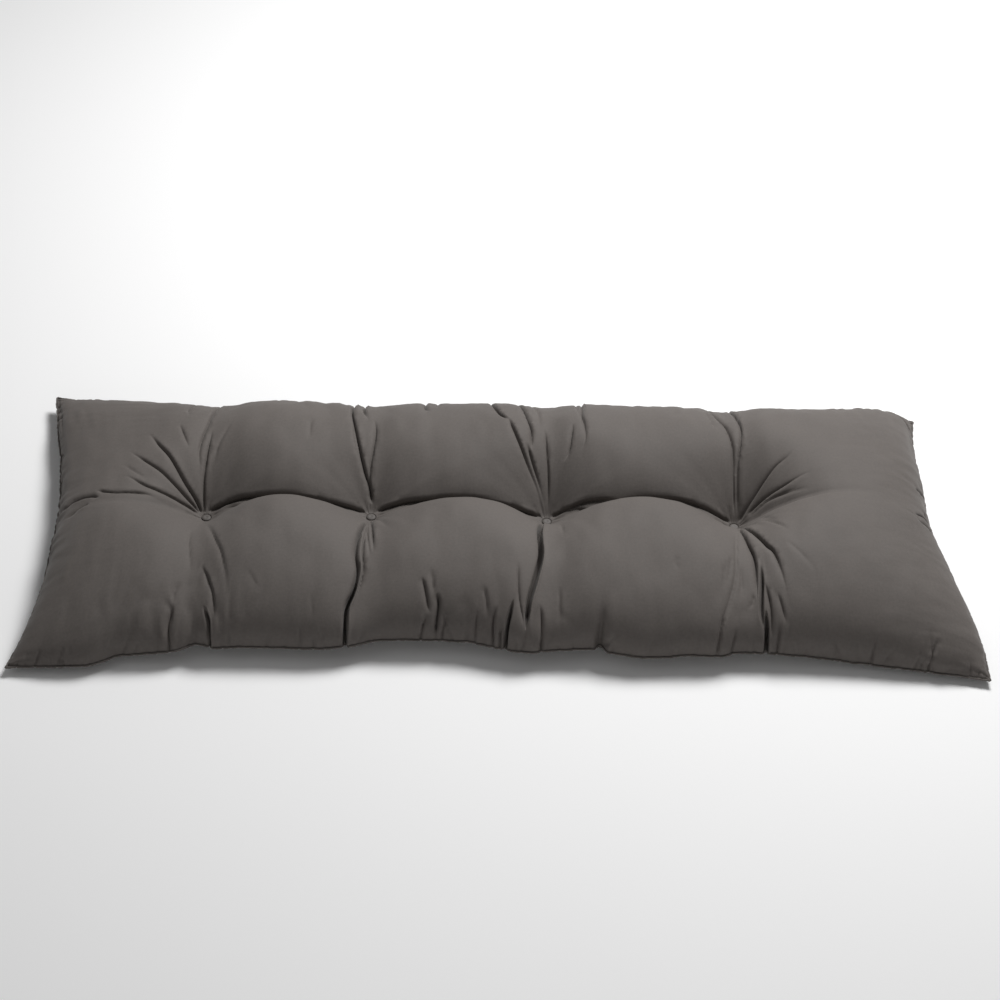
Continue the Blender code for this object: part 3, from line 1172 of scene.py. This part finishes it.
    def smooth_top(self, s: Array, t: Array) -> Array:
        """Points of the upper panel before its creases.

        Args:
            s: Place along the flat cloth.
            t: Place across it.

        Returns:
            One row for each point.
        """
        x, across = self.under(s, t)
        plan_x, plan_y = self.plan(x, across)
        filled = self.fullness(x, across)
        seam = self.seam_height(x, across)
        seats = np.interp(x, *rows_to_columns(self.tufts, "x", "upper_seat"))
        to_back = ease(across + 0.5)
        crest = mix(self.station(x, "front_z"), self.station(x, "back_z"), to_back)
        past = plan_y - self.station(x, "valley_y")
        front = np.exp(-np.abs(past) / self.valley_front)
        back = trough(np.maximum(past, 0.0), self.valley_back, self.valley_soft)
        keep = 1.0 - self.station(x, "valley") * np.where(past < 0, front, back)
        channel_cut = mix(self.front_channel, self.back_channel, to_back)
        collar = np.zeros_like(x)
        for tuft in self.tufts:
            gap = self.from_seat(tuft, plan_x, plan_y)
            keep = keep * (1.0 - trough(gap, self.dimple, self.dimple_soft))
            line = np.exp(-((plan_x - tuft.x) / self.channel) ** 2)
            keep = keep * (1.0 - channel_cut * line)
            rise = 1.0 - np.exp(-gap / self.collar_reach)
            collar += self.collar * rise * np.exp(-gap / self.collar_fall)
        z = mix(mix(seam, seats, filled), mix(seam, crest, filled), keep) + collar
        return np.stack([plan_x, plan_y, z], -1)

    def smooth_base(self, s: Array, t: Array) -> Array:
        """Points of the lower panel: flat where the cushion rests, lifted at its tufts.

        Args:
            s: Place along the flat cloth.
            t: Place across it.

        Returns:
            One row for each point.
        """
        x, across = self.under(s, t)
        plan_x, plan_y = self.plan(x, across)
        hang = self.seam_height(x, across) - self.belly * self.fullness(x, across) ** 2
        z = np.maximum(0.0, hang)
        for tuft in self.tufts:
            share = self.from_seat(tuft, plan_x, plan_y) / self.lower_dimple
            z = np.maximum(z, tuft.lower_seat * np.clip(1.0 - share, 0.0, 1.0) ** 2)
        return np.stack([plan_x, plan_y, z], -1)

    def normals(self, s: Array, t: Array, step: float = 0.0005) -> Array:
        """Normals of the smooth upper panel.

        Args:
            s: Place along the flat cloth.
            t: Place across it.
            step: How far to look to each side.

        Returns:
            One unit row for each point.
        """
        half_s, half_t = self.cut
        before, after = (np.clip(s + side, -half_s, half_s) for side in (-step, step))
        along = self.smooth_top(after, t) - self.smooth_top(before, t)
        before, after = (np.clip(t + side, -half_t, half_t) for side in (-step, step))
        over = self.smooth_top(s, after) - self.smooth_top(s, before)
        normal = np.cross(along, over)
        return normal / np.maximum(np.linalg.norm(normal, axis=1, keepdims=True), TINY)

    # Folds -----------------------------------------------------------------

    def fold_offsets(self, s: Array, t: Array, plan_x: Array, plan_y: Array) -> Array:
        """How far the folds move the upper panel's points.

        Args:
            s: Place along the flat cloth.
            t: Place across it.
            plan_x: The same places on the smooth form, seen from above.
            plan_y: Their second coordinate.

        Returns:
            One row for each point.
        """
        drawn = Folds(plan_x, plan_y)
        for crease in CREASES:
            drawn.press(crease)
        gathered = Folds(s, t)
        for crease in self.puckers.draw(*self.cut):
            gathered.press(crease)
        at_seam = mix(self.seam_give, 1.0, ease(self.edge_distance(s, t) / self.seam_reach))
        waves = self.ripples.at(s, t) * self.ripple
        waves = waves + self.fine_ripples.at(s, t) * self.fine_ripple
        waves = waves - self.wrinkles.at(s, t, *self.cut) * mix(self.wrinkle_give, 1.0, at_seam)
        hold = np.ones_like(s)
        for number, tuft in enumerate(self.tufts):
            gap = self.from_seat(tuft, plan_x, plan_y)
            hold = hold * gap / (gap + self.hold)
            angle = np.arctan2(plan_y - tuft.y, plan_x - tuft.x)
            drag = sum(np.cos(times * angle + number + times) for times in self.drag_lines)
            waves = waves + drag * self.drag * np.exp(-gap / self.drag_reach)
        sink = ((drawn.drop + gathered.drop) * at_seam - waves) * hold
        offsets = -self.normals(s, t) * sink[:, None]
        offsets[:, :2] += drawn.pull * (at_seam * hold)[:, None]
        return offsets

    # Mesh ------------------------------------------------------------------

    def flat_cover(self) -> bmesh.types.BMesh:
        """Lay both panels flat, sewn together: a fine upper grid and a coarser lower one.

        Returns:
            A mesh that holds s, t and the side in its coordinates.
        """
        half_s, half_t = self.cut
        columns, rows = (2 * round(half / self.cell) for half in (half_s, half_t))
        s, t = np.linspace(-half_s, half_s, columns + 1), np.linspace(-half_t, half_t, rows + 1)
        top = np.arange((columns + 1) * (rows + 1)).reshape(columns + 1, rows + 1)
        side = np.full(top.shape, Side.UPPER.value)
        side[[0, -1], :] = Side.SEAM.value
        side[:, [0, -1]] = Side.SEAM.value
        grid = np.stack([*np.meshgrid(s, t, indexing="ij"), side], -1).reshape(-1, 3)
        coarse = grid.reshape(columns + 1, rows + 1, 3)[2:-2:2, 2:-2:2].reshape(-1, 3).copy()
        coarse[:, 2] = Side.LOWER.value
        base = top.copy()
        base[2:-2:2, 2:-2:2] = np.arange(len(coarse)).reshape(columns // 2 - 1, -1) + len(grid)
        quads = np.stack([top[:-1, :-1], top[1:, :-1], top[1:, 1:], top[:-1, 1:]], -1)
        faces = quads.reshape(-1, 4).tolist()
        for i in range(0, columns, 2):
            for j in range(0, rows, 2):
                faces.append(self._coarse_face(base, i, j))
        return open_mesh(np.vstack([grid, coarse]), faces)

    @staticmethod
    def _coarse_face(base: Array, i: int, j: int) -> list[int]:
        """One face of the lower panel, which shares the fine points of the seam.

        Args:
            base: Numbers of the lower panel's points.
            i: The face's first column.
            j: Its first row.

        Returns:
            The numbers of its points, in order.
        """
        last_i, last_j = base.shape[0] - 1, base.shape[1] - 1
        ring = [base[i, j]]
        ring += [base[i, j + 1]] if i == 0 else []
        ring += [base[i, j + 2]]
        ring += [base[i + 1, j + 2]] if j + 2 == last_j else []
        ring += [base[i + 2, j + 2]]
        ring += [base[i + 2, j + 1]] if i + 2 == last_i else []
        ring += [base[i + 2, j]]
        ring += [base[i + 1, j]] if j == 0 else []
        return [int(number) for number in ring]

    def refine(self, work: bmesh.types.BMesh, deeper: float, near: float, size: float) -> None:
        """Split the upper panel's faces that lie close to a crease or a tuft.

        Args:
            work: The flat cover.
            deeper: Depth from which a crease counts.
            near: How close, as a share of the crease's reach.
            size: Size of the faces to be split.
        """
        faces = list(work.faces)
        middles = np.array([face.calc_center_median() for face in faces])
        x, y = self.plan(*self.under(middles[:, 0], middles[:, 1]))
        close = np.zeros(len(faces), bool)
        for crease in CREASES:
            if crease.depth >= deeper:
                width = near * crease.reach * Folds.narrow
                if crease.slit:
                    width = crease.reach * Folds.narrow + crease.slit + size
                found = beside(smooth_line(crease.line), x, y, width)
                close[found.which[found.gap < width]] = True
        for tuft in self.tufts:
            close |= self.from_seat(tuft, x, y) < self.fine_tuft * near
        if not deeper:
            close |= self.edge_distance(middles[:, 0], middles[:, 1]) < self.fine_edge
        close &= middles[:, 2] > Side.SEAM.value
        chosen = {edge.index for face, split in zip(faces, close) if split for edge in face.edges}
        edges = [edge for edge in work.edges if edge.index in chosen]
        bmesh.ops.subdivide_edges(work, edges=edges, cuts=1, use_grid_fill=True)
        work.edges.index_update()

    def place(self, flat: Array) -> Array:
        """Swell the flat cover into its form.

        Args:
            flat: Rows of s, t and side.

        Returns:
            The points, one row each.
        """
        s, t, side = flat.T
        lower = side < Side.SEAM.value
        smooth = self.smooth_top(s, t)
        smooth[lower] = self.smooth_base(s[lower], t[lower])
        from_seam = self.edge_distance(s, t)
        folded = ~lower | (from_seam < self.under_reach)
        plan = smooth[folded]
        moves = self.fold_offsets(s[folded], t[folded], plan[:, 0], plan[:, 1])
        share = np.where(lower, ease(1.0 - from_seam / self.under_reach), 1.0)[folded]
        smooth[folded] += moves * share[:, None]
        smooth[:, 2] = np.maximum(smooth[:, 2], 0.0)
        return smooth

    def seam_points(self, spacing: float) -> Array:
        """Points along the whole seam, anticlockwise from the front left corner.

        Args:
            spacing: Rough distance between points.

        Returns:
            The points, one row each.
        """
        half_s, half_t = self.cut
        corners = [(-half_s, -half_t), (half_s, -half_t), (half_s, half_t), (-half_s, half_t)]
        flat = []
        for start, end in zip(corners, corners[1:] + corners[:1]):
            count = round(math.dist(start, end) / spacing)
            share = np.arange(count)[:, None] / count
            flat.append(mix(np.array(start), np.array(end), share))
        line = np.vstack(flat)
        seam = self.place(np.column_stack([line, np.full(len(line), Side.SEAM.value)]))
        along = np.roll(seam, -2, axis=0) - np.roll(seam, 2, axis=0)
        outward = np.column_stack([along[:, 1], -along[:, 0]])
        outward /= np.linalg.norm(outward, axis=1, keepdims=True)
        seam[:, :2] += outward * self.seam_stand
        return seam

    def build(self, cloth: bpy.types.Material) -> bpy.types.Object:
        """Make the cover's mesh, with the flat cloth in metres as its UV map.

        Args:
            cloth: The cover's finish.

        Returns:
            The cover.
        """
        work = self.flat_cover()
        for step, (deeper, near) in enumerate(self.finer):
            self.refine(work, deeper, near, self.cell / 2 ** step)
        odd = [face for face in work.faces if len(face.verts) > 4]
        bmesh.ops.triangulate(work, faces=odd)
        mesh = close_mesh(work, "cushion_cover")
        flat = np.empty(len(mesh.vertices) * 3, np.float32)
        mesh.vertices.foreach_get("co", flat)
        flat = flat.reshape(-1, 3).astype(float)
        mesh.vertices.foreach_set("co", self.place(flat).ravel().astype(np.float32))
        corners = np.empty(len(mesh.loops), np.int32)
        mesh.loops.foreach_get("vertex_index", corners)
        layer = mesh.uv_layers.new(name="flat_cloth")
        layer.data.foreach_set("uv", flat[corners, :2].ravel().astype(np.float32))
        mesh.update()
        mesh.shade_smooth()
        mesh.materials.append(cloth)
        return add_object("cushion_cover", mesh)


@dataclass(frozen=True)
class SewnSeam:
    """The knife-edge seam: a thin ridge of turned cloth, with its stitches in the grooves."""

    ridge_radius: float = 0.0012
    ridge_sides: int = 8
    ridge_step: float = 0.0024
    unevenness: float = 0.35        # of the ridge's thickness, as a share
    lumps: float = 110.0            # of that unevenness, in a metre
    stitch_pitch: float = 0.0036
    stitch_length: float = 0.0026
    stitch_radius: float = 0.00028
    stitch_lift: float = 0.85       # height above the ridge's middle, as a share of its radius
    stitch_sway: float = 0.2        # how far a stitch points aside, for its length
    stitch_seed: int = 3
    stitch_segments: int = 6
    stitch_rings: int = 4

    def follow(self, maker: Maker, shape: Wire, flat: Wire, cushion: Cushion,
               finish: bpy.types.Material) -> bpy.types.Object:
        """Run a tree along the cushion's seam and dress what it makes.

        Args:
            maker: The tree.
            shape: The wire that holds its shape.
            flat: Places on the flat cloth, for the UV map.
            cushion: The cushion whose seam it follows.
            finish: The piece's finish.

        Returns:
            The piece.
        """
        mapped = maker.node(
            "GeometryNodeStoreNamedAttribute", {"data_type": "FLOAT2", "domain": "CORNER"},
            {0: shape, "Name": "flat_cloth", "Value": flat},
        )
        dressed = maker.node("GeometryNodeSetMaterial", {}, {0: mapped, "Material": finish})
        points = cushion.seam_points(self.ridge_step)
        edges = [(number, (number + 1) % len(points)) for number in range(len(points))]
        path = bpy.data.meshes.new("seam_path")
        path.from_pydata(points.tolist(), edges, [])
        piece = maker.make(path, dressed)
        piece.data.shade_smooth()
        return piece

    def build_ridge(self, cushion: Cushion, cloth: bpy.types.Material) -> bpy.types.Object:
        """Make the ridge where the two panels' turned edges press together.

        Args:
            cushion: The cushion whose seam it follows.
            cloth: The cover's finish.

        Returns:
            The ridge.
        """
        sizes = {"Radius": self.ridge_radius, "Sides": self.ridge_sides,
                 "Unevenness": self.unevenness, "Lumps": self.lumps}
        maker = Maker("seam_ridge", sizes)
        curve = maker.node("GeometryNodeMeshToCurve", {}, {0: maker.given("Geometry")})
        line_length = maker.node("GeometryNodeSplineParameter", {}, {}, "Length")
        capture = {"captures": "along"}
        line = maker.node("GeometryNodeCaptureAttribute", capture, {0: curve, 1: line_length})
        along = line.sibling(1)
        circle = maker.node("GeometryNodeCurvePrimitiveCircle", {"mode": "RADIUS"}, {
            "Resolution": maker.given("Sides"), "Radius": maker.given("Radius")})
        round_length = maker.node("GeometryNodeSplineParameter", {}, {}, "Length")
        capture = {"captures": "around"}
        ring = maker.node("GeometryNodeCaptureAttribute", capture, {0: circle, 1: round_length})
        noise = maker.node("ShaderNodeTexNoise", {"noise_dimensions": "1D"}, {
            "W": along, "Scale": maker.given("Lumps"), "Detail": 2.0})
        scale = (noise - 0.5) * maker.given("Unevenness") * 2.0 + 1.0
        tube = maker.node("GeometryNodeCurveToMesh", {}, {
            "Curve": line, "Profile Curve": ring, "Scale": scale})
        flat = maker.vector(along, ring.sibling(1), 0.0)
        return self.follow(maker, tube, flat, cushion, cloth)

    def build_stitches(self, cushion: Cushion, thread: bpy.types.Material) -> bpy.types.Object:
        """Make the lock stitches that lie in the grooves above and below the ridge.

        Args:
            cushion: The cushion whose seam they follow.
            thread: The thread's finish.

        Returns:
            The stitches, joined.
        """
        sizes = {"Pitch": self.stitch_pitch, "Length": self.stitch_length,
                 "Thickness": self.stitch_radius, "Lift": self.ridge_radius * self.stitch_lift,
                 "Segments": self.stitch_segments, "Rings": self.stitch_rings,
                 "Seed": self.stitch_seed}
        maker = Maker("seam_stitches", sizes)
        curve = maker.node("GeometryNodeMeshToCurve", {}, {0: maker.given("Geometry")})
        line = maker.node("GeometryNodeResampleCurve", {"mode": "LENGTH"}, {
            0: curve, "Length": maker.given("Pitch")})
        tangent = maker.node("GeometryNodeInputTangent", {}, {})
        sway = (self.stitch_sway,) * 3
        jitter = maker.node("FunctionNodeRandomValue", {"data_type": "FLOAT_VECTOR"}, {
            0: tuple(-part for part in sway), 1: sway, "Seed": maker.given("Seed")})
        way = maker.node("ShaderNodeVectorMath", {"operation": "ADD"}, {0: tangent, 1: jitter})
        turn = maker.node("FunctionNodeAlignRotationToVector", {"axis": "Z"}, {"Vector": way})
        bead = maker.node("GeometryNodeMeshUVSphere", {}, {
            "Segments": maker.given("Segments"), "Rings": maker.given("Rings"), "Radius": 1.0})
        scale = maker.vector(maker.given("Thickness"), maker.given("Thickness"),
                             maker.given("Length") * 0.5)
        rows = []
        for side in (1.0, -1.0):
            offset = maker.vector(0.0, 0.0, maker.given("Lift") * side)
            moved = maker.node("GeometryNodeSetPosition", {}, {0: line, "Offset": offset})
            rows.append(maker.node("GeometryNodeInstanceOnPoints", {}, {
                "Points": moved, "Instance": bead, "Rotation": turn, "Scale": scale}))
        joined = maker.node("GeometryNodeJoinGeometry", {}, {0: rows})
        real = maker.node("GeometryNodeRealizeInstances", {}, {0: joined})
        place = maker.node("GeometryNodeInputPosition", {}, {})
        return self.follow(maker, real, place, cushion, thread)


@dataclass(frozen=True)
class CoveredButton:
    """A small tufting button covered in the cushion's cloth; its finish is that cloth darkened, as
    painted shade.
    """

    node: str               # the frame's node that it stands for
    upward: bool
    rings: int = 22
    spokes: int = 48
    hollow: float = 0.0007  # depth of the dent over its shank, and its radius
    hollow_radius: float = 0.0017
    pleats: int = 15        # gathers of the cloth that is turned under the rim
    pleat_depth: float = 0.00013
    rim: float = 0.62       # powers of its rounded rim and face: lower makes them fuller
    face: float = 0.8
    widest: float = 0.46    # share of its height at which it is widest
    flatness: float = 0.85  # of its underside, which ends this much of the way down

    def outline(self, radius: float, height: float) -> Array:
        """The button's profile from the middle of its face round to its underside.

        Args:
            radius: The button's radius.
            height: Its height.

        Returns:
            Rows of radius and height above its seat.
        """
        turn = np.linspace(math.pi / 2, -math.pi / 2, self.rings)
        across = radius * np.abs(np.cos(turn)) ** self.rim
        level = np.sign(np.sin(turn)) * np.abs(np.sin(turn)) ** self.face
        level = np.where(level > 0, level, level * self.flatness)
        up = height * mix(self.widest, 1.0, level)
        dent = self.hollow * np.exp(-(across / self.hollow_radius) ** 2)
        return np.column_stack([across, up - np.where(level > 0, dent, 0.0)])

    def build(self, cloth: bpy.types.Material) -> bpy.types.Object:
        """Make the button where the frame has it.

        Args:
            cloth: The button's finish, darkened to carry painted shade.

        Returns:
            The button.
        """
        low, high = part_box(self.node)
        middle = (low + high) / 2
        outline = self.outline((high.x - low.x) / 2, high.z - low.z)
        around = np.arange(self.spokes) * 2 * math.pi / self.spokes
        below = np.clip(0.5 - outline[:, 1] / (high.z - low.z), 0.0, 0.5)[:, None] * 2
        ripple = self.pleat_depth * below * np.cos(self.pleats * around)
        spread = np.maximum(0.0, outline[:, :1] + ripple)
        height = np.broadcast_to(outline[:, 1:], spread.shape)
        seat = low.z if self.upward else high.z
        z = seat + height if self.upward else seat - height
        points = np.stack([middle.x + spread * np.cos(around),
                           middle.y + spread * np.sin(around), z], -1)
        index = np.arange(spread.size).reshape(spread.shape)
        after = np.roll(index, -1, axis=1)
        quads = np.stack([index[:-1], index[1:], after[1:], after[:-1]], -1).reshape(-1, 4)
        work = open_mesh(points.reshape(-1, 3), quads.tolist())
        bmesh.ops.remove_doubles(work, verts=work.verts, dist=1e-6)
        bmesh.ops.recalc_face_normals(work, faces=work.faces)
        layer = work.loops.layers.uv.new("flat_cloth")
        for face in work.faces:
            for loop in face.loops:
                loop[layer].uv = loop.vert.co.xy
        mesh = close_mesh(work, self.node)
        mesh.shade_smooth()
        mesh.materials.append(cloth)
        return add_object("covered_" + self.node, mesh)


# ---------------------------------------------------------------------------
# Studio
# ---------------------------------------------------------------------------

@dataclass(frozen=True)
class SoftLight:
    """A soft box: where it hangs, what it points at, its size and its power."""

    name: str
    place: Triple
    aim: Triple
    width: float
    height: float
    watts: float

    def hang(self) -> None:
        """Add the light to the scene.

        The soft box is a rectangle, turned so that it faces the point that it aims at.
        """
        lamp = bpy.data.lights.new(self.name, "AREA")
        lamp.shape = "RECTANGLE"
        lamp.size = self.width
        lamp.size_y = self.height
        lamp.energy = self.watts
        holder = add_object(self.name, lamp)
        holder.location = self.place
        aim = Vector(self.aim) - Vector(self.place)
        holder.rotation_euler = aim.to_track_quat("-Z", "Y").to_euler()


@dataclass(frozen=True)
class Studio:
    """Pale floor, soft light and the camera, at the photograph's angle to the cushion."""

    azimuth: float = -2.5
    elevation: float = 42.4
    roll: float = 2.679
    distance: float = 2.7993
    lens: float = 75.625
    sensor: float = 36.0
    aim: Triple = (0.0074, 0.0611, 0.015)
    floor_reach: float = 12.0
    world: float = 0.14
    lights: tuple[SoftLight, ...] = (
        SoftLight("overhead_box", (0.75, 1.2, 2.0), (-0.05, 0, 0), 1.1, 0.7, 67),
        SoftLight("side_box", (-1.9, -0.4, 1.6), (0, 0, 0), 1.2, 1.2, 2),
        SoftLight("front_box", (0.2, -2.2, 0.9), (0, 0, 0), 1.6, 0.8, 4),
    )

    def add_camera(self) -> None:
        """Place the camera on its sphere round the aim.

        The photograph leans by its roll, a turn about the line of sight.
        """
        azimuth, elevation = math.radians(self.azimuth), math.radians(self.elevation)
        back = Vector((
            math.sin(azimuth) * math.cos(elevation),
            -math.cos(azimuth) * math.cos(elevation),
            math.sin(elevation),
        ))
        right = Vector((math.cos(azimuth), math.sin(azimuth), 0.0))
        turn = Matrix.Rotation(math.radians(self.roll), 3, back)
        right = turn @ right
        up = back.cross(right)
        camera = bpy.data.cameras.new("camera")
        camera.lens = self.lens
        camera.sensor_width = self.sensor
        holder = add_object("camera", camera)
        basis = Matrix((right, up, back)).transposed().to_4x4()
        holder.matrix_world = Matrix.Translation(Vector(self.aim) + back * self.distance) @ basis
        bpy.context.scene.camera = holder

    def add_floor(self) -> None:
        """Lay the floor.

        It reaches past everything that the camera sees.
        """
        work = bmesh.new()
        bmesh.ops.create_grid(work, x_segments=1, y_segments=1, size=self.floor_reach)
        mesh = close_mesh(work, "floor")
        mesh.materials.append(FLOOR.make())
        floor = add_object("floor", mesh)

    def set_up(self) -> None:
        """Build the whole studio.

        The world is an even white, which fills the shadows of the soft boxes.
        """
        self.add_camera()
        self.add_floor()
        for light in self.lights:
            light.hang()
        world = bpy.data.worlds.new("studio_air")
        world.use_nodes = True
        background = world.node_tree.nodes["Background"]
        background.inputs["Color"].default_value = (1.0, 1.0, 1.0, 1.0)
        background.inputs["Strength"].default_value = self.world
        bpy.context.scene.world = world
        bpy.context.scene.view_settings.view_transform = "Standard"


def triangles(piece: bpy.types.Object) -> int:
    """Number of triangles in a piece's mesh."""
    return sum(len(face.vertices) - 2 for face in piece.data.polygons)


def main() -> None:
    """Build the cushion's pieces and the studio around them.

    The pieces are tied to the frame's nodes, and each one's triangles are logged.
    """
    logging.basicConfig(level=logging.INFO, format="%(name)s: %(message)s")
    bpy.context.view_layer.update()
    Studio().set_up()
    cloth, button_cloth, thread = CLOTH.make(), PAINTED_SHADE_BUTTON_CLOTH.make(), THREAD.make()
    cushion = Cushion(read_tufts())
    cover = cushion.build(cloth)
    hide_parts("cushion")
    seam = SewnSeam()
    pieces = [cover, seam.build_ridge(cushion, cloth), seam.build_stitches(cushion, thread)]
    for number in range(1, len(cushion.tufts) + 1):
        for name, upward in (("tuft_button", True), ("lower_button", False)):
            node = f"{name}_{number}"
            button = CoveredButton(node, upward).build(button_cloth)
            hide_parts(node)
            pieces.append(button)
    for piece in pieces:
        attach(piece, "root")
        log.info("%s: %d triangles", piece.name, triangles(piece))


if __name__ == "__main__":
    main()
